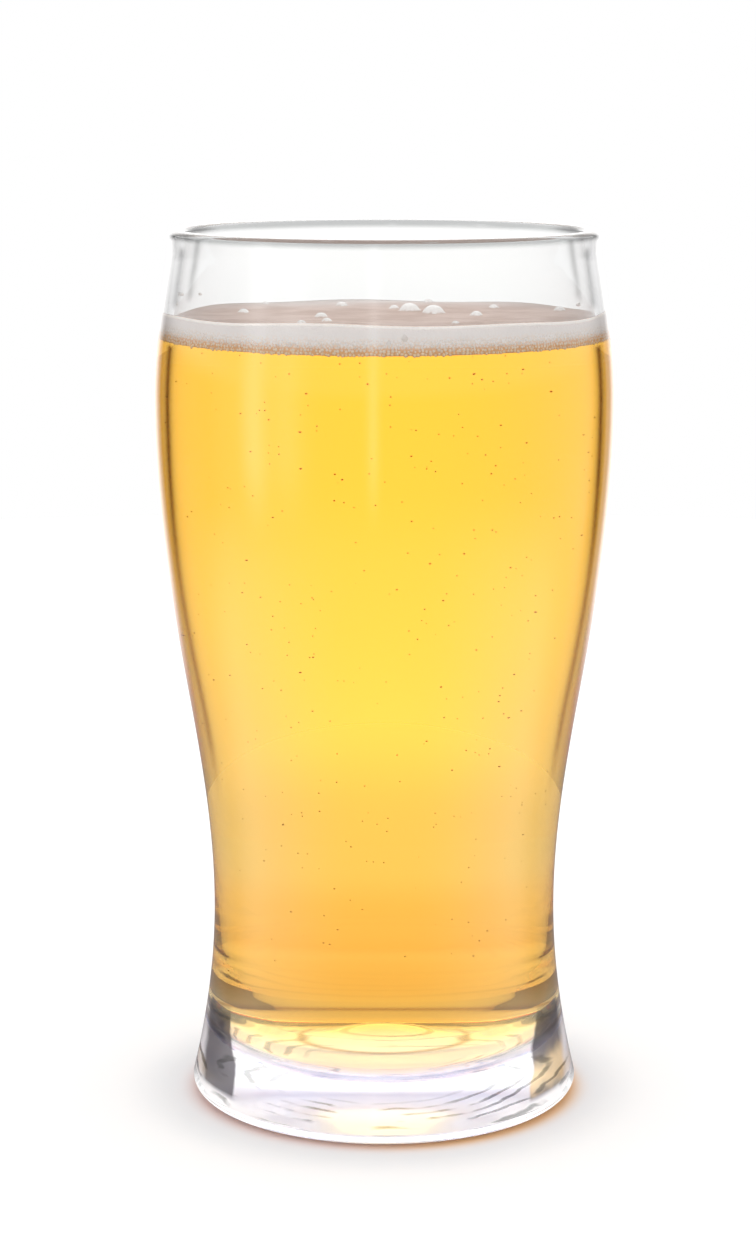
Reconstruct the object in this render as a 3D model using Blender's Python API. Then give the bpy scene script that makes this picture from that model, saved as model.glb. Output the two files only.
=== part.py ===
"""A pint of cider: a tulip pint glass, the cider in it and the froth on the cider, each a separate solid.

Metres, +Z up. The origin is on the table, at the middle of the glass's foot. The glass is turned about Z,
the cider fills it from its floor to the froth, and the froth is a turned disc with an uneven top and large
bubbles fused on.
"""

import math

import bmesh
import bpy
import numpy as np

# Driving dimensions of the glass: heights above the table and outer radii
HEIGHT = 0.162
CONTACT_RADIUS = 0.0332
CONTACT_WIDTH = 0.0045
FOOT_HEIGHT, FOOT_RADIUS, FOOT_SLOPE = 0.0028, 0.0363, -0.24
WAIST_HEIGHT, WAIST_RADIUS = 0.0367, 0.0320
FLANK_HEIGHT, FLANK_RADIUS, FLANK_SLOPE = 0.0791, 0.0368, 0.177
BELLY_HEIGHT, BELLY_RADIUS = 0.1308, 0.0422
NECK_HEIGHT, NECK_RADIUS, NECK_SLOPE = 0.158, 0.0391, -0.16
COLLAR_THICKNESS = 0.0027
RIM_ROUNDING = 0.0009

# The hollow: a wall that thickens towards the foot, a rounded corner and a domed floor, over a shallow punt
WALL_AT_BELLY = 0.0023
WALL_AT_WAIST = 0.0026
WALL_AT_FLOOR = 0.0040
FLOOR_HEIGHT = 0.0079
FLOOR_CORNER = 0.0105
FLOOR_DOME = 0.0052
PUNT_DEPTH = 0.0007

# The drink: where the cider stops, where the froth stops, and the gap that keeps the solids apart
CIDER_LEVEL = 0.1425
FROTH_LEVEL = 0.1468
FROTH_CREEP = 0.0006
GAP = 0.0003

# The froth's large bubbles: the two that stand out, as (x, y, radius), and the rest by a seeded rule
MAIN_BUBBLES = [(0.0047, 0.0054, 0.0021), (0.0090, 0.0007, 0.0022)]
SMALL_BUBBLES = 12
BUBBLE_REACH = 0.0345
BUBBLE_SEED = 5

# Fineness of the turned surfaces
TURN_STEPS = 56
ARC_STEPS = 3
DOME_STEPS = 7
WALL_STEPS = 4


def clear_scene():
    for obj in list(bpy.data.objects):
        bpy.data.objects.remove(obj, do_unlink=True)


def principled(name, colour, roughness, transmission=0):
    """A non-metallic Principled material with the given colour and roughness."""
    material = bpy.data.materials.new(name)
    material.use_nodes = True
    shader = material.node_tree.nodes["Principled BSDF"]
    shader.inputs["Base Color"].default_value = (*colour, 1)
    shader.inputs["Roughness"].default_value = roughness
    shader.inputs["Metallic"].default_value = 0
    shader.inputs["Transmission Weight"].default_value = transmission
    return material


def clear_glass():
    """Clear, colourless soda-lime glass."""
    return principled("clear_glass", (0.96, 0.97, 0.97), 0.02, transmission=1)


def golden_cider():
    """Clear golden-yellow cider."""
    return principled("golden_cider", (0.95, 0.60, 0.08), 0.05)


def pale_froth():
    """Off-white froth with a faint pinkish tone."""
    return principled("pale_froth", (0.80, 0.74, 0.71), 0.45)


def hermite(t, low, high):
    """Radius at height t on the smooth curve between two stations, each (height, radius, slope)."""
    span = high[0] - low[0]
    s = (t - low[0]) / span
    start = (1 + 2 * s) * (1 - s) ** 2 * low[1] + s * (1 - s) ** 2 * span * low[2]
    end = s**2 * (3 - 2 * s) * high[1] - s**2 * (1 - s) * span * high[2]
    return start + end


def outer_radius(height):
    """Outer radius of the glass at a height between the foot's widest ring and the neck."""
    stations = [
        (FOOT_HEIGHT, FOOT_RADIUS, FOOT_SLOPE),
        (WAIST_HEIGHT, WAIST_RADIUS, 0),
        (FLANK_HEIGHT, FLANK_RADIUS, FLANK_SLOPE),
        (BELLY_HEIGHT, BELLY_RADIUS, 0),
        (NECK_HEIGHT, NECK_RADIUS, NECK_SLOPE),
    ]
    for low, high in zip(stations, stations[1:]):
        if height <= high[0]:
            return hermite(height, low, high)
    return NECK_RADIUS


def inner_radius(height):
    """Radius of the hollow: the outer radius less a wall that is thinnest at the belly."""
    heights = [FLOOR_HEIGHT, WAIST_HEIGHT, BELLY_HEIGHT, NECK_HEIGHT]
    walls = [WALL_AT_FLOOR, WALL_AT_WAIST, WALL_AT_BELLY, COLLAR_THICKNESS]
    return outer_radius(height) - float(np.interp(height, heights, walls))


def arc(centre, radii, start, end, steps=ARC_STEPS):
    """Points (radius, height) along an elliptical arc, angles in degrees from +X, both ends included."""
    angles = np.radians(np.linspace(start, end, steps + 1))
    return [(centre[0] + radii[0] * math.cos(a), centre[1] + radii[1] * math.sin(a)) for a in angles]


def heights_between(low, high, steps):
    """Heights strictly between two levels, evenly spaced."""
    return np.linspace(low, high, steps + 1)[1:-1]


def hollow_profile(top, clearance):
    """The hollow's outline from its floor's middle up to a level, drawn in by a clearance."""
    corner_top = FLOOR_HEIGHT + FLOOR_CORNER
    corner_radius = inner_radius(corner_top) - clearance
    dome_radius = corner_radius - FLOOR_CORNER
    floor_height = FLOOR_HEIGHT + clearance
    reaches = np.linspace(0, 1, DOME_STEPS + 1)[:-1]
    dome = [(reach * dome_radius, floor_height + FLOOR_DOME * (0.5 + 0.5 * math.cos(math.pi * reach)))
            for reach in reaches]
    corner = arc((dome_radius, corner_top), (FLOOR_CORNER, corner_top - floor_height), -90, 0, 6)
    levels = [corner_top, WAIST_HEIGHT, FLANK_HEIGHT, BELLY_HEIGHT]
    wall = []
    for low, high in zip(levels, levels[1:]):
        wall += [(inner_radius(z) - clearance, z) for z in heights_between(low, high, WALL_STEPS)]
        wall.append((inner_radius(high) - clearance, high))
    wall += [(inner_radius(z) - clearance, z) for z in np.linspace(BELLY_HEIGHT, top, 4)[1:]]
    return dome + corner + wall


def outside_profile():
    """The outside from the neck down to the foot's widest ring."""
    levels = [NECK_HEIGHT, BELLY_HEIGHT, FLANK_HEIGHT, WAIST_HEIGHT, FOOT_HEIGHT]
    points = []
    for high, low in zip(levels, levels[1:]):
        points.append((outer_radius(high), high))
        points += [(outer_radius(z), z) for z in heights_between(high, low, WALL_STEPS)]
    return points


def turned(name, profile, material):
    """A solid of revolution: the profile, drawn from axis to axis, turned about Z."""
    mesh = bpy.data.meshes.new(name)
    points = [(x, 0, z) for x, z in profile]
    mesh.from_pydata(points, [(i, i + 1) for i in range(len(points) - 1)], [])
    obj = bpy.data.objects.new(name, mesh)
    bpy.context.collection.objects.link(obj)
    screw = obj.modifiers.new("turn", "SCREW")
    screw.axis = "Z"
    screw.steps = TURN_STEPS
    screw.render_steps = TURN_STEPS
    screw.use_merge_vertices = True
    screw.merge_threshold = 0.00001
    screw.use_smooth_shade = True
    apply_modifiers(obj)
    obj.data.set_sharp_from_angle(angle=math.radians(45))
    obj.data.materials.append(material)
    return obj


def apply_modifiers(obj):
    """Replaces the object's mesh with its evaluated one."""
    bpy.context.view_layer.update()
    graph = bpy.context.evaluated_depsgraph_get()
    shaped = bpy.data.meshes.new_from_object(obj.evaluated_get(graph))
    obj.modifiers.clear()
    obj.data = shaped


def pint_glass():
    """The glass: the hollow, over the rounded rim, down the outside, round the foot and up into the punt."""
    rim_outer = NECK_RADIUS
    rim_inner = NECK_RADIUS - COLLAR_THICKNESS
    shoulder = HEIGHT - RIM_ROUNDING
    rounding = (RIM_ROUNDING, RIM_ROUNDING)
    inside = hollow_profile(NECK_HEIGHT, 0)
    rim = arc((rim_inner + RIM_ROUNDING, shoulder), rounding, 180, 90)
    rim += arc((rim_outer - RIM_ROUNDING, shoulder), rounding, 90, 0)
    foot_size = (FOOT_RADIUS - CONTACT_RADIUS, FOOT_HEIGHT)
    foot = arc((CONTACT_RADIUS, FOOT_HEIGHT), foot_size, 0, -90, 4)
    punt_edge = CONTACT_RADIUS - CONTACT_WIDTH
    punt = [(reach * punt_edge, PUNT_DEPTH * (1 - reach**2)) for reach in np.linspace(1, 0, 5)]
    return turned("glass", inside + rim + outside_profile() + foot + punt, clear_glass())


def cider():
    """The drink: the hollow's own shape, one gap smaller, up to the cider's level."""
    upwards = hollow_profile(CIDER_LEVEL, GAP)
    return turned("cider", [(0, CIDER_LEVEL)] + upwards[::-1], golden_cider())


def froth_rise(x, y):
    """Rise of the froth's top above its level: a low mound, slow waves and a creep up the front wall."""
    reach = np.hypot(x, y) / inner_radius(FROTH_LEVEL)
    angle = np.arctan2(y, x)
    mound = 0.0006 * np.exp(-((x - 0.006) ** 2 + (y - 0.020) ** 2) / 0.014**2)
    waves = 0.00022 * np.sin(3 * angle + 0.6) + 0.00018 * np.sin(7 * angle + 2.1)
    creep = FROTH_CREEP * (0.5 - 0.5 * np.sin(angle)) * reach**6
    return mound + waves * reach**2 + creep


def froth_disc():
    """The froth without its large bubbles: flat below, uneven on top, one gap clear of its neighbours."""
    bottom = CIDER_LEVEL + GAP
    top_radius = inner_radius(FROTH_LEVEL) - GAP
    top = [(reach * top_radius, FROTH_LEVEL) for reach in np.linspace(0, 1, 8)]
    side = [(inner_radius(bottom) - GAP, bottom), (0, bottom)]
    disc = turned("froth", top + side, pale_froth())
    points = np.empty(len(disc.data.vertices) * 3)
    disc.data.vertices.foreach_get("co", points)
    points = points.reshape(-1, 3)
    on_top = points[:, 2] > (bottom + FROTH_LEVEL) / 2
    points[on_top, 2] += froth_rise(points[on_top, 0], points[on_top, 1])
    disc.data.vertices.foreach_set("co", points.ravel())
    return disc


def bubble_sizes_and_places():
    """(x, y, radius) of each large bubble: the main ones, then seeded ones along a golden-angle spiral."""
    draw = np.random.default_rng(BUBBLE_SEED)
    number = np.arange(SMALL_BUBBLES)
    reach = BUBBLE_REACH * np.sqrt((number + 1) / SMALL_BUBBLES)
    angle = 1.2 + number * math.pi * (3 - math.sqrt(5)) + draw.uniform(-0.3, 0.3, SMALL_BUBBLES)
    radius = draw.uniform(0.0007, 0.0013, SMALL_BUBBLES)
    return MAIN_BUBBLES + list(zip(reach * np.cos(angle), reach * np.sin(angle), radius))


def bubble_ball(x, y, radius):
    """A ball that stands two thirds of its radius out of the froth's top at x, y."""
    mesh = bpy.data.meshes.new("bubble")
    builder = bmesh.new()
    bmesh.ops.create_uvsphere(builder, u_segments=10, v_segments=7, radius=radius)
    builder.to_mesh(mesh)
    builder.free()
    mesh.shade_smooth()
    ball = bpy.data.objects.new("bubble", mesh)
    ball.location = (x, y, FROTH_LEVEL + froth_rise(x, y) - radius / 3)
    return ball


def froth():
    """The froth with its large bubbles fused on."""
    disc = froth_disc()
    bubbles = bpy.data.collections.new("bubbles")
    bpy.context.scene.collection.children.link(bubbles)
    for x, y, radius in bubble_sizes_and_places():
        bubbles.objects.link(bubble_ball(x, y, radius))
    union = disc.modifiers.new("fuse", "BOOLEAN")
    union.operation = "UNION"
    union.operand_type = "COLLECTION"
    union.collection = bubbles
    apply_modifiers(disc)
    for ball in list(bubbles.objects):
        bpy.data.objects.remove(ball, do_unlink=True)
    bpy.data.collections.remove(bubbles)
    return disc


def build():
    clear_scene()
    pint_glass()
    cider()
    froth()


build()
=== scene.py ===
"""A pint of cider in a tulip glass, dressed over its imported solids: glass, drink, froth, bubbles and studio."""

import math

import bpy
import numpy as np
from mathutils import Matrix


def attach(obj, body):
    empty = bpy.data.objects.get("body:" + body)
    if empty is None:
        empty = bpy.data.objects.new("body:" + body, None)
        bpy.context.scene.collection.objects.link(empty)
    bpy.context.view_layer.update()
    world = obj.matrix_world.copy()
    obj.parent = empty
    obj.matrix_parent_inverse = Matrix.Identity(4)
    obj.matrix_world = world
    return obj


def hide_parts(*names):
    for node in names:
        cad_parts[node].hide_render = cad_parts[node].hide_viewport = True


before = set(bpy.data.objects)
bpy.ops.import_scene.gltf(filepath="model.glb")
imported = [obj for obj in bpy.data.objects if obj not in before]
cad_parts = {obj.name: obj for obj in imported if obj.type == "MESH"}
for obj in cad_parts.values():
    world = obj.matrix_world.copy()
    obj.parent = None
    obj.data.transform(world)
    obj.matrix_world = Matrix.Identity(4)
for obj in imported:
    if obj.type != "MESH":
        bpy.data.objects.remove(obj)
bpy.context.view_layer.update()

# The pint glass is one turned piece of pressed, fire-polished glass: a rounded collar at the rim, a belly, a
# waist and a flared foot, with a thick floor, domed inside, and a shallow punt underneath. Its outside curves
# through five stations (height, radius, slope), and its wall thickens from the belly down to the floor.
glass_height = 0.162
foot_height, waist_height, belly_height, neck_height = 0.0028, 0.0367, 0.1308, 0.1580
outside_stations = np.array([
    (foot_height, 0.0363, -0.24),
    (waist_height, 0.0320, 0.0),
    (0.0791, 0.0368, 0.177),
    (belly_height, 0.0422, 0.0),
    (neck_height, 0.0391, -0.16),
])
contact_radius, contact_width = 0.0332, 0.0045
punt_depth = 0.0007
collar_thickness, rim_rounding = 0.0027, 0.0009
floor_height, floor_corner, floor_dome = 0.0079, 0.0105, 0.0052
wall_heights = (floor_height, waist_height, belly_height, neck_height)
wall_thicknesses = (0.0040, 0.0026, 0.0023, collar_thickness)
cider_level = 0.1426
corner_ripple, corner_waves, corner_steps = 0.00007, 5, 80


def outer_radius(height):
    """Outer radius: between two stations a cubic that meets both radii and both slopes, held at the ends."""
    heights, radii, slopes = outside_stations.T
    height = np.clip(height, heights[0], heights[-1])
    low = np.clip(np.searchsorted(heights, height) - 1, 0, len(heights) - 2)
    span = heights[low + 1] - heights[low]
    s = (height - heights[low]) / span
    start = (1 + 2 * s) * (1 - s) ** 2 * radii[low] + s * (1 - s) ** 2 * span * slopes[low]
    return start + s**2 * (3 - 2 * s) * radii[low + 1] - s**2 * (1 - s) * span * slopes[low + 1]


def inner_radius(height):
    """Radius of the hollow: the outer radius less a wall thickness that runs evenly between four heights."""
    return outer_radius(height) - np.interp(height, wall_heights, wall_thicknesses)


def arc(centre, radii, start, end, steps):
    """Points (radius, height) on an arc: centre plus radii times the cosine and sine of an angle in degrees."""
    angle = np.radians(np.linspace(start, end, steps + 1))
    return np.stack([centre[0] + radii[0] * np.cos(angle), centre[1] + radii[1] * np.sin(angle)], axis=1)


def wall(radius_at, low, high, steps):
    """Points (radius, height) up a wall whose radius is a function of height."""
    height = np.linspace(low, high, steps)
    return np.stack([radius_at(height), height], axis=1)


def hollow(top, growth, steps):
    """The hollow's outline from its floor's middle to a level, grown outwards by a small amount: a cosine
    dome, a quarter circle whose radius ripples more and more as it rises, and the wall."""
    corner_top = floor_height + floor_corner
    flat = inner_radius(corner_top) - floor_corner
    radius = np.linspace(0, flat, 32)
    dome = floor_dome * (0.5 + 0.5 * np.cos(math.pi * radius / flat))
    floor = np.stack([radius, floor_height + dome - growth], axis=1)
    share = np.linspace(0, 1, corner_steps + 1)
    wave = np.sin(np.linspace(0, 2 * corner_waves * math.pi, corner_steps + 1))
    ripple = floor_corner + growth + corner_ripple * wave * share
    corner = arc((flat, corner_top), (ripple, ripple), -90, 0, corner_steps)
    side = wall(lambda z: inner_radius(z) + growth, corner_top, top, steps)
    return np.concatenate([floor[:-1], corner[:-1], side])


def turned(name, profile, turns=256):
    """A closed turned surface: radius times cosine and sine of the turn. The outline runs up its outer side."""
    angle = np.arange(turns) * 2 * math.pi / turns
    ring = profile[1:-1]
    x = ring[:, 0, None] * np.cos(angle)
    y = ring[:, 0, None] * np.sin(angle)
    z = np.broadcast_to(ring[:, 1, None], x.shape)
    points = np.stack([x, y, z], axis=2).reshape(-1, 3)
    poles = np.array([(0, 0, profile[0, 1]), (0, 0, profile[-1, 1])])
    return closed_mesh(name, points, poles, len(ring), turns)


def closed_mesh(name, points, poles, rows, turns):
    """Joins rows of points into quads, and the first and last row to a pole each."""
    here = np.arange(turns)
    after = (here + 1) % turns
    row = np.arange(rows - 1)[:, None] * turns
    above = row + turns
    quads = np.stack([row + here, row + after, above + after, above + here], axis=2).reshape(-1, 4)
    start, end = len(points), len(points) + 1
    last = (rows - 1) * turns
    first_fan = np.stack([np.full(turns, start), after, here], axis=1)
    last_fan = np.stack([np.full(turns, end), last + here, last + after], axis=1)
    mesh = bpy.data.meshes.new(name)
    faces = quads.tolist() + first_fan.tolist() + last_fan.tolist()
    mesh.from_pydata(np.concatenate([points, poles]).tolist(), [], faces)
    mesh.shade_smooth()
    piece = bpy.data.objects.new(name, mesh)
    bpy.context.collection.objects.link(piece)
    return piece


class Socket:
    """A node's output in a Python expression: each operator adds one Math node to the same tree."""

    def __init__(self, recipe, link):
        self.recipe, self.link = recipe, link

    def math(self, operation, *values):
        return self.recipe.node("ShaderNodeMath", {"operation": operation}, dict(enumerate(values)))

    def __add__(self, other):
        return self.math("ADD", self, other)

    def __sub__(self, other):
        return self.math("SUBTRACT", self, other)

    def __rsub__(self, other):
        return self.math("SUBTRACT", other, self)

    def __mul__(self, other):
        return self.math("MULTIPLY", self, other)

    def __truediv__(self, other):
        return self.math("DIVIDE", self, other)

    __radd__ = __add__
    __rmul__ = __mul__


class Recipe:
    """The node tree of one material or of the world, with one method that makes any node."""

    def __init__(self, owner):
        owner.use_nodes = True
        self.tree = owner.node_tree
        self.tree.nodes.clear()

    def node(self, kind, settings=None, values=None, output=0):
        """A node of this type with its settings, then its sockets' values or links; gives one output."""
        made = self.tree.nodes.new(kind)
        for key, value in (settings or {}).items():
            setattr(made, key, value)
        for key, value in (values or {}).items():
            if isinstance(value, Socket):
                self.tree.links.new(value.link, made.inputs[key])
            else:
                made.inputs[key].default_value = value
        return Socket(self, made.outputs[output]) if made.outputs else None

    def smooth_step(self, value, low, high):
        """0 below low, 1 above high and a smooth rise between."""
        settings = {"interpolation_type": "SMOOTHSTEP"}
        return self.node("ShaderNodeMapRange", settings, {"Value": value, "From Min": low, "From Max": high})

    def bell(self, value, middle, width):
        """e to the power of minus the square of (value - middle) / width."""
        offset = (value - middle) / width
        return offset.math("EXPONENT", offset * offset * -1)

    def blend(self, factor, first, second):
        """A colour that goes from the first to the second as the factor goes from 0 to 1."""
        return self.node("ShaderNodeMix", {"data_type": "RGBA"}, {0: factor, 6: first, 7: second}, output=2)


def clear_glass():
    """Fire-polished soda-lime glass, nearly clear, under painted shade and light that follow the height and the
    slant at which it is seen: painted grey shade edge on and round the empty wall, bluish painted shade at the
    waist, painted amber light at the ankle, a painted dark line inside each side and painted dark bars in the
    thick base, one with a painted amber streak. The rim is painted grey, with darker painted shade at its ends."""
    material = bpy.data.materials.new("clear_glass")
    recipe = Recipe(material)
    place = recipe.node("ShaderNodeTexCoord", output=3)
    across = recipe.node("ShaderNodeSeparateXYZ", values={0: place}, output=0)
    height = recipe.node("ShaderNodeSeparateXYZ", values={0: place}, output=2)
    slant = recipe.node("ShaderNodeLayerWeight", values={"Blend": 0.5}, output=1)
    drift = recipe.node("ShaderNodeTexNoise", values={"Vector": place, "Scale": 160.0, "Detail": 2.0}) - 0.5
    # Painted shade, bluish, at the waist, and painted amber light at the ankle.
    waist = (recipe.smooth_step(slant, 0.0, 0.28) * recipe.smooth_step(height, 0.022, 0.030)
             * (1 - recipe.smooth_step(height, 0.060, 0.100)))
    tint_and_painted_shade = recipe.blend(waist, (0.985, 0.99, 0.985, 1), (0.80, 0.80, 0.96, 1))
    ankle = recipe.smooth_step(height, 0.019, 0.022) * (1 - recipe.smooth_step(height, 0.030, 0.040))
    tint_and_painted_shade = recipe.blend(ankle, tint_and_painted_shade, (1.0, 0.78, 0.50, 1))
    # Painted grey shade round the empty wall, and edge on everywhere above the ankle.
    empty = recipe.smooth_step(height, cider_level + 0.002, cider_level + 0.005)
    tint_and_painted_shade = recipe.blend(recipe.smooth_step(slant, 0.05, 0.55) * empty, tint_and_painted_shade, (0.93, 0.93, 0.93, 1))
    edge = recipe.smooth_step(slant, 0.45, 1.0) * recipe.smooth_step(height, 0.020, 0.034)
    tint_and_painted_shade = recipe.blend(edge, tint_and_painted_shade, (0.66, 0.64, 0.64, 1))
    # A painted dark line inside each side: brown low in the drink, near black higher up, dark grey above the
    # head.
    inside_edge = recipe.bell(slant - 0.04 * recipe.bell(height, 0.098, 0.022), 0.655, 0.045)
    above = recipe.smooth_step(height, 0.1480, 0.1500) * (1 - recipe.smooth_step(height, 0.1585, 0.1600))
    below = recipe.smooth_step(height, 0.056, 0.074) * (1 - recipe.smooth_step(height, 0.1418, 0.1430))
    high = recipe.smooth_step(height, 0.098, 0.122)
    brown = recipe.blend(high, (0.27, 0.19, 0.15, 1), (0.07, 0.03, 0.012, 1))
    painted_line = recipe.blend(above, brown, (0.13, 0.13, 0.13, 1))
    tint_and_painted_shade = recipe.blend(inside_edge * (below + 0.8 * above), tint_and_painted_shade, painted_line)
    # Painted dark bars in the thick base, and a painted amber streak across one of them on the right.
    bend = slant + 0.14 * drift - 9.0 * (height - 0.012)
    bar = recipe.smooth_step(bend, 0.41, 0.44) * (1 - recipe.smooth_step(bend, 0.70, 0.84))
    bar = bar * recipe.smooth_step(height, 0.0040, 0.0052) * (1 - recipe.smooth_step(height, 0.0175, 0.0215))
    amber = recipe.bell(height + 0.006 * drift, 0.0080, 0.0022) * recipe.smooth_step(across, 0.020, 0.024)
    painted_bar_shade_and_amber = recipe.blend(amber, (0.03, 0.027, 0.03, 1), (0.98, 0.62, 0.22, 1))
    tint_and_painted_shade = recipe.blend(bar, tint_and_painted_shade, painted_bar_shade_and_amber)
    # The rim is painted grey, with darker painted shade at its two ends.
    rim_end = recipe.smooth_step(across.math("ABSOLUTE", across), 0.0315, 0.0350)
    rim_painted_grey = recipe.blend(rim_end, (0.52, 0.53, 0.53, 1), (0.12, 0.12, 0.12, 1))
    surface = recipe.node("ShaderNodeBsdfPrincipled", values={
        "Base Color": recipe.blend(recipe.smooth_step(height, 0.1600, 0.1612), tint_and_painted_shade, rim_painted_grey),
        "Roughness": 0.0,
        "IOR": 1.5,
        "Transmission Weight": 1.0,
    })
    recipe.node("ShaderNodeOutputMaterial", values={"Surface": surface})
    return material


def wetted_glass():
    """The same glass where the drink lies against it. It hardly mirrors there, a thin brown line of painted
    shade runs low round the floor, and the floor has a faint painted blue glow to whiten what is seen
    through the yellow drink."""
    material = bpy.data.materials.new("wetted_glass")
    recipe = Recipe(material)
    place = recipe.node("ShaderNodeTexCoord", output=3)
    height = recipe.node("ShaderNodeSeparateXYZ", values={0: place}, output=2)
    # A faint painted blue glow on the floor, and a thin brown line of painted shade low round it.
    floor_glow = 1 - recipe.smooth_step(height, 0.0095, 0.0135)
    painted_line = recipe.bell(height, 0.0096, 0.0003)
    surface = recipe.node("ShaderNodeBsdfPrincipled", values={
        "Base Color": recipe.blend(painted_line, (0.995, 0.995, 0.995, 1), (0.40, 0.22, 0.07, 1)),
        "Emission Color": recipe.blend(floor_glow, (0, 0, 0, 1), (0.20, 0.38, 1.0, 1)),
        "Emission Strength": 0.36,
        "Roughness": 0.0,
        "IOR": 1.5,
        "Specular Tint": (0, 0, 0, 1),
        "Transmission Weight": 1.0,
    })
    recipe.node("ShaderNodeOutputMaterial", values={"Surface": surface})
    return material


def moulded_underside():
    """The shallow punt as the mould left it: milky glass with a faint painted glow, broken dark rings pressed in.
    """
    material = bpy.data.materials.new("moulded_underside")
    recipe = Recipe(material)
    place = recipe.node("ShaderNodeTexCoord", output=3)
    across = recipe.node("ShaderNodeSeparateXYZ", values={0: place}, output=0)
    along = recipe.node("ShaderNodeSeparateXYZ", values={0: place}, output=1)
    away = across.math("SQRT", across * across + along * along)
    drift = recipe.node("ShaderNodeTexNoise", values={"Vector": place, "Scale": 70.0, "Detail": 3.0})
    wave = away.math("SINE", (away + 0.006 * drift) * 1900.0)
    patch = recipe.smooth_step(drift, 0.44, 0.56)
    rings = recipe.smooth_step(wave, 0.35, 0.95) * patch * recipe.smooth_step(away, 0.008, 0.016)
    tone = recipe.blend(rings, (0.94, 0.94, 0.93, 1), (0.10, 0.09, 0.08, 1))
    # The painted glow is bluish in the middle and warm white outwards.
    cool = recipe.blend(recipe.smooth_step(away, 0.012, 0.025), (0.86, 0.93, 1.15, 1), (1.0, 0.98, 0.94, 1))
    multiply = {"data_type": "RGBA", "blend_type": "MULTIPLY"}
    glow = recipe.node("ShaderNodeMix", multiply, {0: 1.0, 6: tone, 7: cool}, output=2)
    surface = recipe.node("ShaderNodeBsdfPrincipled", values={
        "Base Color": tone,
        "Roughness": 0.1,
        "IOR": 1.5,
        "Transmission Weight": 0.20,
        "Specular IOR Level": 0.2,
        "Emission Color": glow,
        "Emission Strength": 0.30,
    })
    recipe.node("ShaderNodeOutputMaterial", values={"Surface": surface})
    return material


inside = hollow(neck_height, 0, 110)
rim_top = glass_height - rim_rounding
rim_outer = outer_radius(neck_height)
rim_inner = rim_outer - collar_thickness
rim = np.concatenate([
    arc((rim_inner + rim_rounding, rim_top), (rim_rounding, rim_rounding), 180, 90, 8),
    arc((rim_outer - rim_rounding, rim_top), (rim_rounding, rim_rounding), 90, 0, 8),
])
outside = wall(outer_radius, neck_height, foot_height, 120)
foot = arc((contact_radius, foot_height), (outer_radius(foot_height) - contact_radius, foot_height), 0, -90, 12)
punt_edge = contact_radius - contact_width
punt_radius = np.linspace(punt_edge, 0, 24)
punt = np.stack([punt_radius, punt_depth * (1 - (punt_radius / punt_edge) ** 2)], axis=1)
outline = np.concatenate([inside, rim, outside, foot[1:], punt])
glass = turned("pint_glass", outline[::-1])
glass.data.materials.append(clear_glass())
glass.data.materials.append(wetted_glass())
glass.data.materials.append(moulded_underside())
middle = np.empty(3 * len(glass.data.polygons))
glass.data.polygons.foreach_get("center", middle)
x, y, z = middle.reshape(-1, 3).T
wetted = (np.hypot(x, y) < outer_radius(z) - 0.001) & (z > floor_height - 0.0002) & (z < cider_level)
underside = (z < punt_depth + 0.0001) & (np.hypot(x, y) < punt_edge)
glass.data.polygons.foreach_set("material_index", (wetted + 2 * underside).astype(np.int32))
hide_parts("glass")
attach(glass, "root")

# The cider is a clear golden drink that fills the hollow from the floor to the froth. It wets the glass, so its
# surface reaches 0.2 mm into the wall and into the froth, and no air shows. Its colour comes from its depth.
wetting = 0.0002


def golden_cider():
    """Clear cider: a faint yellow surface over a body that absorbs blue and some green."""
    material = bpy.data.materials.new("golden_cider")
    recipe = Recipe(material)
    surface = recipe.node("ShaderNodeBsdfPrincipled", values={
        "Base Color": (1.0, 0.97, 0.88, 1),
        "Roughness": 0.0,
        "IOR": 1.34,
        "Specular Tint": (0, 0, 0, 1),
        "Transmission Weight": 1.0,
    })
    body = recipe.node("ShaderNodeVolumeAbsorption", values={"Color": (0.99, 0.79, 0.08, 1), "Density": 45.0})
    recipe.node("ShaderNodeOutputMaterial", values={"Surface": surface, "Volume": body})
    return material


cider_side = hollow(cider_level, wetting, 100)
cider_top = np.stack([np.linspace(cider_side[-1, 0], 0, 12)[1:], np.full(11, cider_level)], axis=1)
cider = turned("cider_drink", np.concatenate([cider_side, cider_top]))
cider.data.set_sharp_from_angle(angle=math.radians(40))
cider.data.materials.append(golden_cider())
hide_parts("cider")
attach(cider, "root")

# The froth is a thin head of fine foam: a disc that clings to the glass, with a low mound, slow waves and some
# large bubbles on top. It is one mesh: a square grid pulled into a disc, with its edge carried down.
froth_bottom, froth_level, froth_creep = 0.1424, 0.1468, 0.0006
froth_cling, froth_cells = 0.00015, 280
main_bubbles = np.array([(0.0047, 0.0054, 0.0021), (0.0090, 0.0007, 0.0022)])
small_bubbles, bubble_reach = 12, 0.0345


def froth_rise(x, y):
    """A bell-shaped mound, waves that grow with the square of the radius, and a creep at the front edge."""
    reach = np.hypot(x, y) / inner_radius(froth_level)
    angle = np.arctan2(y, x)
    mound = 0.0006 * np.exp(-((x - 0.006) ** 2 + (y - 0.020) ** 2) / 0.014**2)
    waves = 0.00022 * np.sin(3 * angle + 0.6) + 0.00018 * np.sin(7 * angle + 2.1)
    creep = froth_creep * (0.5 - 0.5 * np.sin(angle)) * reach**6
    return mound + waves * reach**2 + creep


def scattered_bubbles():
    """(x, y, radius) of the large bubbles: the two main ones, then a golden-angle spiral with seeded sizes."""
    draw = np.random.default_rng(5)
    number = np.arange(small_bubbles)
    reach = bubble_reach * np.sqrt((number + 1) / small_bubbles)
    angle = 1.2 + number * math.pi * (3 - math.sqrt(5)) + draw.uniform(-0.3, 0.3, small_bubbles)
    radius = draw.uniform(0.0007, 0.0013, small_bubbles)
    spiral = np.stack([reach * np.cos(angle), reach * np.sin(angle), radius], axis=1)
    return np.concatenate([main_bubbles, spiral])


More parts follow.
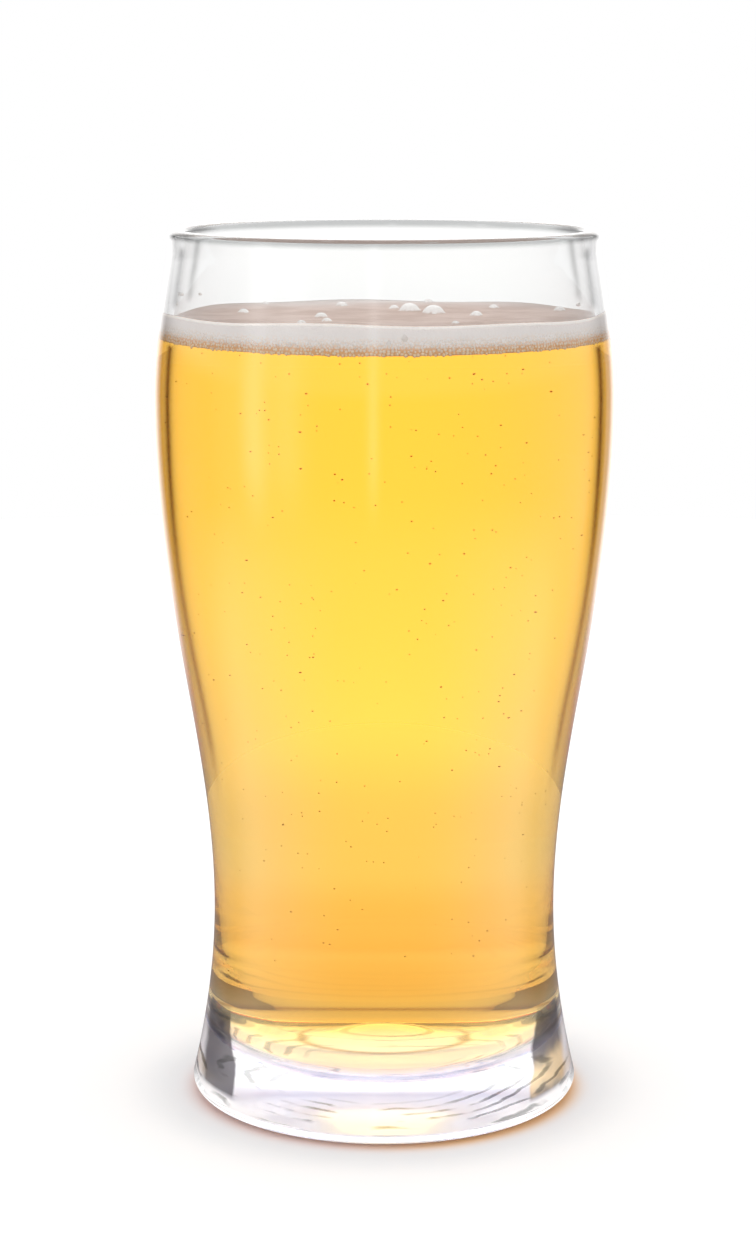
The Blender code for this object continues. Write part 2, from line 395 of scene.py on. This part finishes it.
def froth_top(x, y):
    """Height of the top, and 1 on a bubble: the rise, or the cap of a ball that sits a third of its radius
    low."""
    top = froth_level + froth_rise(x, y)
    on_bubble = np.zeros_like(x)
    for bubble_x, bubble_y, radius in scattered_bubbles():
        away = np.hypot(x - bubble_x, y - bubble_y)
        cap = np.sqrt(np.maximum(radius**2 - away**2, 0)) - radius / 3
        base = froth_level + froth_rise(bubble_x, bubble_y)
        on_bubble = np.where((away < radius) & (base + cap > top), 1.0, on_bubble)
        top = np.where(away < radius, np.maximum(top, base + cap), top)
    return top, on_bubble


def foam_disc():
    """The froth's mesh: u and v on a square, x = u times the root of 1 - v*v/2, and y the other way round."""
    side = np.linspace(-1, 1, froth_cells + 1)
    u, v = np.meshgrid(side, side)
    radius = inner_radius(froth_level) + froth_cling
    x, y = radius * u * np.sqrt(1 - v**2 / 2), radius * v * np.sqrt(1 - u**2 / 2)
    surface, on_bubble = froth_top(x, y)
    top = np.stack([x, y, surface], axis=2)
    count = froth_cells + 1
    index = np.arange(count * count).reshape(count, count)
    quads = np.stack([index[:-1, :-1], index[:-1, 1:], index[1:, 1:], index[1:, :-1]], axis=2).reshape(-1, 4)
    edge = np.concatenate([index[0, :-1], index[:-1, -1], index[-1, :0:-1], index[:0:-1, 0]])
    rim = top.reshape(-1, 3)[edge]
    drop = np.array([0.03, 0.08, 0.14, 0.25, 0.4, 0.6, 0.8, 1.0])[:, None]
    height = rim[:, 2] + drop * (froth_bottom - rim[:, 2])
    spread = (inner_radius(height) + froth_cling) / radius
    side_wall = np.stack([rim[:, 0] * spread, rim[:, 1] * spread, height], axis=2)
    points = np.concatenate([top.reshape(-1, 3), side_wall.reshape(-1, 3), [(0, 0, froth_bottom)]])
    rows = np.concatenate([edge[None], count * count + np.arange(side_wall[..., 0].size).reshape(height.shape)])
    ahead = np.roll(rows, -1, axis=1)
    wall_quads = np.stack([rows[:-1], rows[1:], ahead[1:], ahead[:-1]], axis=2).reshape(-1, 4)
    middle = np.full(len(edge), len(points) - 1)
    underside = np.stack([middle, ahead[-1], rows[-1]], axis=1)
    mesh = bpy.data.meshes.new("froth_head")
    mesh.from_pydata(points.tolist(), [], quads.tolist() + wall_quads.tolist() + underside.tolist())
    parts = np.repeat([0, 1, 2], [len(quads), len(wall_quads), len(underside)])
    mesh.polygons.foreach_set("material_index", parts.astype(np.int32))
    below_rim = (rim[:, 2] - height).ravel()
    depth = np.concatenate([np.zeros(top[..., 0].size), below_rim, [froth_level - froth_bottom]])
    bubble = np.concatenate([on_bubble.ravel(), np.zeros(height.size + 1)])
    mesh.attributes.new("depth", "FLOAT", "POINT").data.foreach_set("value", depth.astype(np.float32))
    mesh.attributes.new("bubble", "FLOAT", "POINT").data.foreach_set("value", bubble.astype(np.float32))
    mesh.shade_smooth()
    mesh.set_sharp_from_angle(angle=math.radians(50))
    return mesh


def foam_top():
    """The head from above: mottled foam with fine cells, in a pinkish beige painted shade that is darkest at the
    front and paler at the back and on bubbles.
    """
    material = bpy.data.materials.new("foam_top")
    recipe = Recipe(material)
    place = recipe.node("ShaderNodeTexCoord", output=3)
    bubble = recipe.node("ShaderNodeAttribute", {"attribute_name": "bubble"}, output=2)
    cells = recipe.node("ShaderNodeTexVoronoi", {"feature": "F1"}, {"Vector": place, "Scale": 2200.0})
    mottle = recipe.node("ShaderNodeTexNoise", values={"Vector": place, "Scale": 160.0, "Detail": 4.0})
    along = recipe.node("ShaderNodeSeparateXYZ", values={0: place}, output=1)
    # The foam's top is painted shade: pinkish beige, darker at the front, paler towards the back.
    beige = recipe.blend(recipe.smooth_step(mottle, 0.35, 0.65), (0.51, 0.37, 0.31, 1), (0.62, 0.48, 0.42, 1))
    foam = recipe.blend(recipe.smooth_step(along, 0.006, 0.036), beige, (0.76, 0.68, 0.65, 1))
    bump = recipe.node("ShaderNodeBump", values={"Height": cells * -1, "Distance": 0.0002, "Strength": 0.35})
    surface = recipe.node("ShaderNodeBsdfPrincipled", values={
        "Base Color": recipe.blend(bubble, foam, (0.86, 0.83, 0.81, 1)),
        "Roughness": recipe.smooth_step(bubble, 1.6, -0.4),
        "Normal": bump,
    })
    recipe.node("ShaderNodeOutputMaterial", values={"Surface": surface})
    return material


def foam_side():
    """The head against the glass: smooth and pale, with a faint painted glow, a bright painted highlight line on
    top, and amber low.
    """
    material = bpy.data.materials.new("foam_side")
    recipe = Recipe(material)
    place = recipe.node("ShaderNodeTexCoord", output=3)
    height = recipe.node("ShaderNodeSeparateXYZ", values={0: place}, output=2)
    depth = recipe.node("ShaderNodeAttribute", {"attribute_name": "depth"}, output=2)
    cells = recipe.node("ShaderNodeTexVoronoi", {"feature": "F1"}, {"Vector": place, "Scale": 2600.0})
    # A bright painted highlight line along the top of the side, paler than the foam below.
    painted_line = 1 - recipe.smooth_step(depth, 0.00025, 0.00055)
    low = 1 - recipe.smooth_step(height, froth_bottom + 0.0006, froth_bottom + 0.0022)
    fine = 1 - recipe.smooth_step(height, froth_bottom + 0.0016, froth_bottom + 0.0036)
    amber = recipe.blend(low, (0.88, 0.76, 0.66, 1), (0.72, 0.33, 0.07, 1))
    foam = recipe.blend(fine * recipe.smooth_step(cells, 0.30, 0.70) + low, (0.96, 0.91, 0.89, 1), amber)
    bump = recipe.node("ShaderNodeBump", values={"Height": cells * -1, "Distance": 0.0002, "Strength": 0.3})
    surface = recipe.node("ShaderNodeBsdfPrincipled", values={
        "Base Color": recipe.blend(painted_line, foam, (1.0, 0.96, 0.93, 1)),
        "Roughness": 0.4,
        "Normal": bump,
        # Painted glow: faint all over, and bright on the painted highlight line.
        "Emission Color": recipe.blend(painted_line, (0.28, 0.27, 0.27, 1), (1.0, 0.88, 0.80, 1)),
        "Emission Strength": 0.25,
    })
    recipe.node("ShaderNodeOutputMaterial", values={"Surface": surface})
    return material


def foam_underside():
    """The head's wet underside, with a painted glow that stands in for the light that the drink gathers."""
    material = bpy.data.materials.new("foam_underside")
    recipe = Recipe(material)
    place = recipe.node("ShaderNodeTexCoord", output=3)
    cells = recipe.node("ShaderNodeTexVoronoi", {"feature": "F1"}, {"Vector": place, "Scale": 900.0})
    glow = recipe.blend(recipe.smooth_step(cells, 0.2, 0.8), (1.0, 0.95, 0.88, 1), (1.0, 0.82, 0.60, 1))
    surface = recipe.node("ShaderNodeBsdfPrincipled", values={
        "Base Color": glow,
        "Roughness": 0.5,
        "Emission Color": glow,
        "Emission Strength": 1.2,
    })
    recipe.node("ShaderNodeOutputMaterial", values={"Surface": surface})
    return material


froth = bpy.data.objects.new("froth_head", foam_disc())
bpy.context.collection.objects.link(froth)
for material in (foam_top(), foam_side(), foam_underside()):
    froth.data.materials.append(material)
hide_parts("froth")
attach(froth, "root")

# The fine bubbles that rise through the cider: tiny balls of gas, each a twenty-faced solid smoothed over. They
# are seeded through the drink, thicker towards its top, with none near its middle line.
rising_bubbles = 420


def small_ball():
    """Corners and faces of a twenty-faced ball of radius 1, from the golden ratio."""
    golden = (1 + math.sqrt(5)) / 2
    corners = np.array([(-1, golden, 0), (1, golden, 0), (-1, -golden, 0), (1, -golden, 0),
                        (0, -1, golden), (0, 1, golden), (0, -1, -golden), (0, 1, -golden),
                        (golden, 0, -1), (golden, 0, 1), (-golden, 0, -1), (-golden, 0, 1)])
    faces = np.array([(0, 11, 5), (0, 5, 1), (0, 1, 7), (0, 7, 10), (0, 10, 11), (1, 5, 9), (5, 11, 4),
                      (11, 10, 2), (10, 7, 6), (7, 1, 8), (3, 9, 4), (3, 4, 2), (3, 2, 6), (3, 6, 8),
                      (3, 8, 9), (4, 9, 5), (2, 4, 11), (6, 2, 10), (8, 6, 7), (9, 8, 1)])
    return corners / np.linalg.norm(corners[0]), faces


def balls(name, centres, radii):
    """One mesh of many small balls: each is the unit ball times its radius, moved to its centre."""
    corners, faces = small_ball()
    points = centres[:, None] + corners[None] * radii[:, None, None]
    index = faces[None] + np.arange(len(centres))[:, None, None] * len(corners)
    mesh = bpy.data.meshes.new(name)
    mesh.from_pydata(points.reshape(-1, 3).tolist(), [], index.reshape(-1, 3).tolist())
    mesh.shade_smooth()
    piece = bpy.data.objects.new(name, mesh)
    bpy.context.collection.objects.link(piece)
    return piece


def dark_amber():
    """The look of a tiny gas bubble in cider: a dark amber speck."""
    material = bpy.data.materials.new("dark_amber")
    recipe = Recipe(material)
    surface = recipe.node("ShaderNodeBsdfPrincipled", values={
        "Base Color": (0.55, 0.34, 0.05, 1),
        "Roughness": 0.3,
    })
    recipe.node("ShaderNodeOutputMaterial", values={"Surface": surface})
    return material


speck_draw = np.random.default_rng(11)
speck_height = 0.020 + 0.120 * speck_draw.beta(1.6, 1.0, rising_bubbles)
speck_turn = speck_draw.uniform(-math.pi, math.pi, rising_bubbles)
speck_share = np.sqrt(speck_draw.uniform(0.15, 0.97, rising_bubbles))
speck_reach = speck_share * (inner_radius(speck_height) - 0.0006)
speck_radii = speck_draw.uniform(0.00008, 0.00016, rising_bubbles)
speck_x, speck_y = speck_reach * np.cos(speck_turn), speck_reach * np.sin(speck_turn)
speck_places = np.stack([speck_x, speck_y, speck_height], axis=1)
specks = balls("rising_bubbles", speck_places, speck_radii)
specks.data.materials.append(dark_amber())
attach(specks, "root")

# The pearly bubbles of the froth's lower edge are pressed against the glass in five uneven rows that get finer
# upwards. Two large ones at the front and four droplets on the wall above the head are placed one by one, by
# their way across, height and radius.
row_heights = np.array([0.0002, 0.0008, 0.0014, 0.0019, 0.0024])
row_radii = np.array([0.00037, 0.00034, 0.00029, 0.00023, 0.00019])
lone_bubbles = np.array([(0.0034, 0.1453, 0.0009), (0.0007, 0.1445, 0.0007), (-0.0346, 0.1510, 0.0004),
                         (-0.0374, 0.1490, 0.0004), (0.0329, 0.1495, 0.0004), (-0.0311, 0.1515, 0.0003)])


def pearly():
    """A wet, pearly film: pale, faintly mottled, with a soft sheen, and amber low, next to the drink."""
    material = bpy.data.materials.new("pearly")
    recipe = Recipe(material)
    place = recipe.node("ShaderNodeTexCoord", output=3)
    mottle = recipe.node("ShaderNodeTexNoise", values={"Vector": place, "Scale": 900.0, "Detail": 2.0})
    height = recipe.node("ShaderNodeSeparateXYZ", values={0: place}, output=2)
    film = recipe.blend(recipe.smooth_step(mottle, 0.35, 0.65), (0.95, 0.88, 0.83, 1), (1.0, 0.96, 0.94, 1))
    low = 1 - recipe.smooth_step(height, froth_bottom - 0.0002, froth_bottom + 0.0020)
    film = recipe.blend(low, film, (0.96, 0.70, 0.42, 1))
    surface = recipe.node("ShaderNodeBsdfPrincipled", values={"Base Color": film, "Roughness": 0.2})
    recipe.node("ShaderNodeOutputMaterial", values={"Surface": surface})
    return material


edge_draw = np.random.default_rng(23)
row_counts = (2 * math.pi * inner_radius(froth_bottom) / (1.9 * row_radii)).astype(int)
row = np.repeat(np.arange(len(row_counts)), row_counts)
number = np.concatenate([np.arange(count) for count in row_counts])
ring_turn = 2 * math.pi * (number + edge_draw.uniform(-0.25, 0.25, len(row))) / row_counts[row] + row
ring_height = froth_bottom + row_heights[row] + edge_draw.uniform(-0.00016, 0.00016, len(row))
ring_reach = inner_radius(ring_height) + 0.00004
ring = np.stack([ring_reach * np.cos(ring_turn), ring_reach * np.sin(ring_turn), ring_height], axis=1)
ring_radii = row_radii[row] * edge_draw.uniform(0.72, 1.12, len(row))
lone_across, lone_height, lone_radii = lone_bubbles.T
lone_reach = inner_radius(lone_height) - 0.4 * lone_radii
lone = np.stack([lone_across, -np.sqrt(lone_reach**2 - lone_across**2), lone_height], axis=1)
edge_bubbles = balls("edge_bubbles", np.concatenate([ring, lone]), np.concatenate([ring_radii, lone_radii]))
edge_bubbles.data.materials.append(pearly())
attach(edge_bubbles, "root")

# The studio: a round pale floor that melts into a white surround, with a wide soft light behind the glass. A
# ring of pale card round the empty part of the wall shows only through the glass. A sheen on the table and a
# curved screen with three soft strips of light, at the left front, show only as mirrored in it.
floor_reach, floor_rings, floor_turns = 0.75, 40, 128
sheen_reach, sheen_height = 0.6, 0.0001
soft_light = 1.12
glow_spread, glow_strength = 18, 0.36


def round_sheet(name, reach, height):
    """A flat disc: rings of points, radius times the cosine and sine of the turn, round a middle point."""
    radius = reach * np.linspace(0, 1, floor_rings + 1)[1:, None]
    angle = np.arange(floor_turns) * 2 * math.pi / floor_turns
    x, y = radius * np.cos(angle), radius * np.sin(angle)
    points = np.concatenate([[(0, 0, height)], np.stack([x, y, 0 * x + height], axis=2).reshape(-1, 3)])
    ring = 1 + np.arange(floor_rings * floor_turns).reshape(floor_rings, floor_turns)
    ahead = np.roll(ring, -1, axis=1)
    fan = np.stack([np.zeros(floor_turns, int), ring[0], ahead[0]], axis=1)
    quads = np.stack([ring[:-1], ring[1:], ahead[1:], ahead[:-1]], axis=2).reshape(-1, 4)
    mesh = bpy.data.meshes.new(name)
    mesh.from_pydata(points.tolist(), [], fan.tolist() + quads.tolist())
    sheet = bpy.data.objects.new(name, mesh)
    bpy.context.collection.objects.link(sheet)
    return sheet


def bearing(recipe, vector):
    """Degrees right of straight back, by the arc tangent of across over along, the way out and the way up."""
    across = recipe.node("ShaderNodeSeparateXYZ", values={0: vector}, output=0)
    along = recipe.node("ShaderNodeSeparateXYZ", values={0: vector}, output=1)
    up = recipe.node("ShaderNodeSeparateXYZ", values={0: vector}, output=2)
    rightward = across.math("ARCTAN2", across, along) * (180 / math.pi)
    away = across.math("SQRT", across * across + along * along)
    return rightward, away, up


def pale_floor():
    """Matt white, with a painted pool of light from behind the glass, painted light round the glass's foot, and a
    painted ring at the foot: pinkish painted shadow on the left and the drink's painted amber light on the right.
    """
    material = bpy.data.materials.new("pale_floor")
    recipe = Recipe(material)
    place = recipe.node("ShaderNodeTexCoord", output=3)
    rightward, away, _ = bearing(recipe, place)
    # Painted light: a pool from behind the glass, and a soft brightening round the glass's foot.
    glow = 0.21 + glow_strength * recipe.bell(rightward, 0, glow_spread)
    pool = recipe.smooth_step(away, 0.05, 0.80) * glow
    pool = pool + 0.14 * (1 - recipe.smooth_step(away, 0.12, 0.40)) * recipe.smooth_step(away, 0.034, 0.052)
    # A painted ring at the foot: pinkish painted shadow on the left, painted amber light on the right.
    contact = recipe.bell(away, 0.0350, 0.0024)
    across = recipe.node("ShaderNodeSeparateXYZ", values={0: place}, output=0)
    right_half = recipe.smooth_step(across, -0.016, 0.016)
    painted_foot_shadow_and_amber = recipe.blend(right_half, (0.86, 0.70, 0.66, 1), (0.93, 0.60, 0.32, 1))
    surface = recipe.node("ShaderNodeBsdfPrincipled", values={
        "Base Color": recipe.blend(contact, (0.93, 0.93, 0.93, 1), painted_foot_shadow_and_amber),
        "Roughness": 0.9,
        "Specular IOR Level": 0.0,
        "Emission Color": recipe.blend(pool, (0, 0, 0, 1), (1, 1, 1, 1)),
        "Emission Strength": 1.0,
    })
    recipe.node("ShaderNodeOutputMaterial", values={"Surface": surface})
    return material


floor = round_sheet("studio_floor", floor_reach, 0.0)
floor.data.materials.append(pale_floor())
floor.visible_glossy = False


def table_sheen():
    """The lit table near the glass, as mirrored in its walls: brighter at the sides, and fading outwards."""
    material = bpy.data.materials.new("table_sheen")
    recipe = Recipe(material)
    rightward, away, _ = bearing(recipe, recipe.node("ShaderNodeTexCoord", output=3))
    aside = rightward.math("ABSOLUTE", rightward)
    side = recipe.smooth_step(aside, 70, 100) * (1 - 0.6 * recipe.smooth_step(aside, 110, 165))
    surface = recipe.node("ShaderNodeBsdfPrincipled", values={
        "Base Color": (0, 0, 0, 1),
        "Specular IOR Level": 0.0,
        "Emission Color": recipe.blend(side, (0.20, 0.18, 0.19, 1), (1.0, 1.0, 1.0, 1)),
        "Emission Strength": 1.4,
        "Alpha": 1 - recipe.smooth_step(away, 0.22, 0.55),
    })
    recipe.node("ShaderNodeOutputMaterial", values={"Surface": surface})
    return material


sheen = round_sheet("table_sheen", sheen_reach, sheen_height)
sheen.data.materials.append(table_sheen())
sheen.visible_camera = sheen.visible_diffuse = sheen.visible_transmission = sheen.visible_shadow = False


def studio_surround():
    """The soft light all round, with what is seen through the glass and what is mirrored in it set apart."""
    world = bpy.data.worlds.new("studio")
    recipe = Recipe(world)
    rightward, _, up = bearing(recipe, recipe.node("ShaderNodeTexCoord", output=0))
    leftward = rightward * -1
    aside = rightward.math("ABSOLUTE", rightward)
    beyond = recipe.smooth_step(aside, 33, 60)
    glow = glow_strength * recipe.bell(rightward, 0, glow_spread)
    screen = recipe.smooth_step(up, 0.03, 0.12) * (1 - recipe.smooth_step(up, 0.70, 0.85))
    ceiling = recipe.smooth_step(up, 0.70, 0.85)
    front = 0.56 * recipe.smooth_step(aside, 62, 82) + 0.20 * recipe.smooth_step(aside, 110, 150)
    behind = (1.25 + glow + 1.3 * screen * (1 - beyond)) * (1 - 0.45 * beyond) * (1 - 0.6 * ceiling)
    behind = behind + front * (1 - ceiling)
    back_light = 1.2 * (1 - recipe.smooth_step(aside, 20, 32))
    low = 1 - recipe.smooth_step(up, -0.02, 0.05)
    dark_left = recipe.smooth_step(leftward, 30, 34) * (1 - recipe.smooth_step(leftward, 80, 100))
    dark_right = recipe.smooth_step(rightward, 33, 38) * (1 - recipe.smooth_step(rightward, 50, 60))
    table = 1 - recipe.smooth_step(up, -0.47, -0.28)
    dark = low * (dark_left + dark_right)
    mirrored = (0.45 + back_light + 0.4 * (1 - low) + 0.75 * table) * (1 - 0.95 * dark)
    through = recipe.node("ShaderNodeLightPath", output="Is Transmission Ray")
    bounced = recipe.node("ShaderNodeLightPath", output="Is Reflection Ray")
    rough = recipe.node("ShaderNodeLightPath", output="Is Diffuse Ray")
    seen = recipe.node("ShaderNodeLightPath", output="Is Camera Ray")
    mirror = bounced * (1 - rough)
    strength = seen + through * behind + mirror * mirrored + (1 - seen - through - mirror) * soft_light
    light = recipe.node("ShaderNodeBackground", values={"Color": (1, 1, 1, 1), "Strength": strength})
    recipe.node("ShaderNodeOutputWorld", values={"Surface": light})
    return world


bpy.context.scene.world = studio_surround()


def upright(name, places, low, high):
    """A standing sheet: quads from one height to another, over a line through places on the floor."""
    count = len(places)
    points = np.concatenate([np.column_stack([places, np.full(count, z)]) for z in (low, high)])
    here = np.arange(count - 1)
    quads = np.stack([here, here + 1, here + 1 + count, here + count], axis=1)
    mesh = bpy.data.meshes.new(name)
    mesh.from_pydata(points.tolist(), [], quads.tolist())
    sheet = bpy.data.objects.new(name, mesh)
    bpy.context.collection.objects.link(sheet)
    sheet.visible_camera = sheet.visible_diffuse = sheet.visible_shadow = False
    return sheet


card_reach, card_low, card_high = 0.062, 0.144, 0.168


def pale_card():
    """A pale grey card, a little paler towards its top."""
    material = bpy.data.materials.new("pale_card")
    recipe = Recipe(material)
    place = recipe.node("ShaderNodeTexCoord", output=3)
    height = recipe.node("ShaderNodeSeparateXYZ", values={0: place}, output=2)
    climb = recipe.smooth_step(height, card_low, glass_height)
    surface = recipe.node("ShaderNodeBsdfPrincipled", values={
        "Base Color": (0, 0, 0, 1),
        "Specular IOR Level": 0.0,
        "Emission Color": recipe.blend(climb, (0.91, 0.91, 0.91, 1), (0.95, 0.95, 0.95, 1)),
        "Emission Strength": 1.14,
    })
    recipe.node("ShaderNodeOutputMaterial", values={"Surface": surface})
    return material


card_turn = np.radians(np.linspace(0, 360, 97))
card_line = card_reach * np.column_stack([np.sin(card_turn), np.cos(card_turn)])
wall_card = upright("wall_card", card_line, card_low, card_high)
wall_card.data.materials.append(pale_card())
wall_card.visible_glossy = False


def strip_glow():
    """Three soft upright strips of light on a clear screen, each a bell round its own bearing."""
    material = bpy.data.materials.new("strip_glow")
    recipe = Recipe(material)
    rightward, _, up = bearing(recipe, recipe.node("ShaderNodeTexCoord", output=3))
    strips = (recipe.bell(rightward, -117, 7.0) + 0.50 * recipe.bell(rightward, -134, 9)
              + 0.70 * recipe.bell(rightward, -175, 2.8))
    surface = recipe.node("ShaderNodeBsdfPrincipled", values={
        "Base Color": (0, 0, 0, 1),
        "Specular IOR Level": 0.0,
        "Emission Color": (1, 1, 1, 1),
        "Emission Strength": 2.6,
        "Alpha": strips * recipe.smooth_step(up, -0.01, 0.07),
    })
    recipe.node("ShaderNodeOutputMaterial", values={"Surface": surface})
    return material


screen_reach, screen_height = 0.38, 0.36
screen_turn = np.radians(np.linspace(-92, -180, 45))
screen_line = screen_reach * np.column_stack([np.sin(screen_turn), np.cos(screen_turn)])
screen = upright("strip_screen", screen_line, 0.0, screen_height)
screen.data.materials.append(strip_glow())
screen.visible_transmission = False

# The camera has a long lens and stands in front, a little above the glass, pitched down. Its distance and
# height are in glass heights, its pitch in degrees, its focal length and sideways offset in the photo's pixels.
camera_distance, camera_height, camera_pitch = 3.3299, 1.164, 10.568
pixels_tall, focal_pixels, axis_offset_pixels = 1260, 2950, 6.2
camera_data = bpy.data.cameras.new("camera")
camera_data.sensor_width = 36
camera_data.lens = focal_pixels / pixels_tall * camera_data.sensor_width
camera_data.clip_start = 0.01
camera = bpy.data.objects.new("camera", camera_data)
bpy.context.collection.objects.link(camera)
camera.location = (0, -camera_distance * glass_height, camera_height * glass_height)
tilt = math.radians(90 - camera_pitch)
camera.rotation_euler = (tilt, 0, math.atan(axis_offset_pixels / focal_pixels))
scene = bpy.context.scene
scene.camera = camera
scene.view_settings.view_transform = "Standard"
scene.cycles.max_bounces = 24
scene.cycles.transmission_bounces = 24
scene.cycles.glossy_bounces = 12
